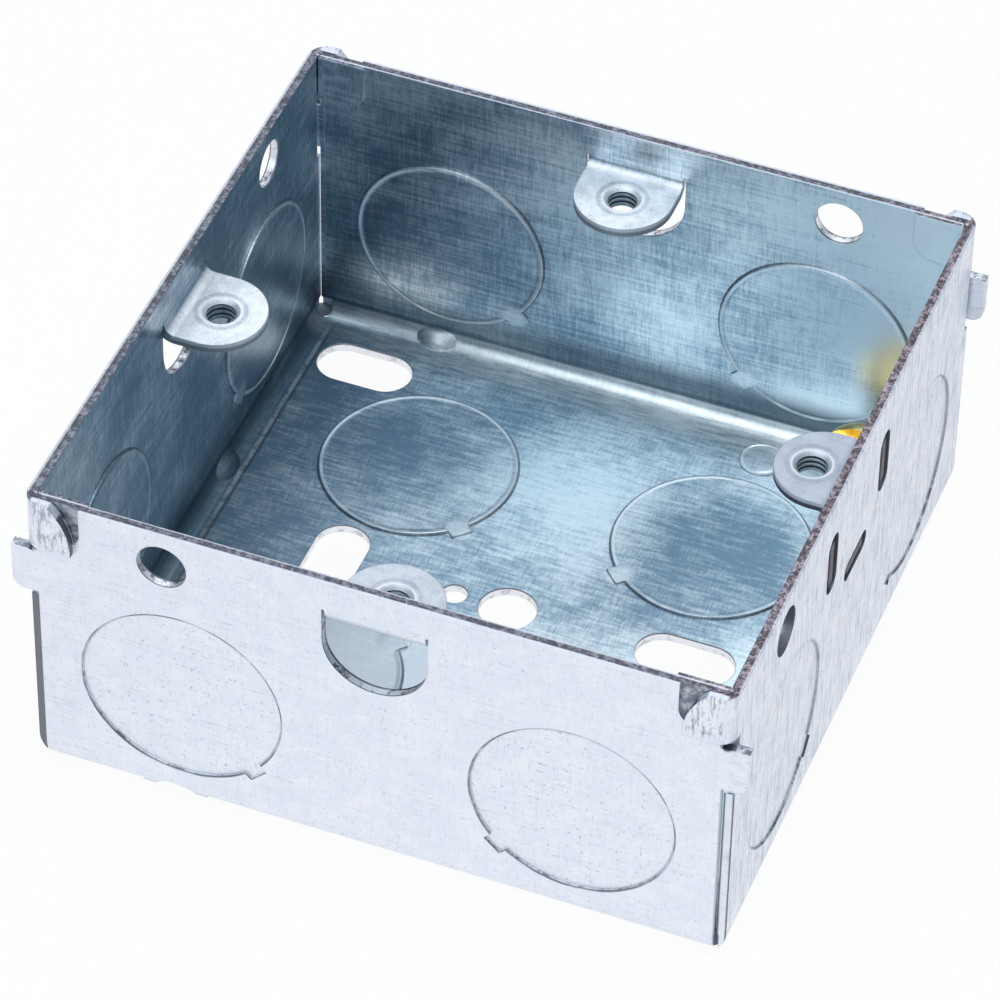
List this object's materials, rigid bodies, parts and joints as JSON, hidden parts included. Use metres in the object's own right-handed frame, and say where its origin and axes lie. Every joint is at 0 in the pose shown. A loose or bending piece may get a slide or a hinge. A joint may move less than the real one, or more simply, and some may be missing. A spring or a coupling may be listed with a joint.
{
  "type": "metal back box",
  "caption": "Square flush back box folded from galvanised sheet, with knockouts, inturned screw lugs, a sliding lug and a brass earth screw.",
  "frame": {"origin": "middle of the floor's underside", "axes": "+Z out of the open side, +X to the wall with the movable lug, +Y to the back wall"},
  "size_m": [0.073, 0.0714, 0.035],
  "materials": {
    "galvanised": "galvanised, satin",
    "lug_steel": "galvanised, satin",
    "brass": "plain"
  },
  "bodies": {
    "box": {"back_box": "galvanised", "earth_screw": "brass", "earth_washer": "brass"},
    "lug": {"adjustable_lug": "lug_steel"}
  },
  "joints": [
    {"name": "lug_adjust", "type": "slide", "parent": "box", "child": "lug", "axis": [0, 1, 0], "range_m": [-0.00075, 0.00075]}
  ]
}
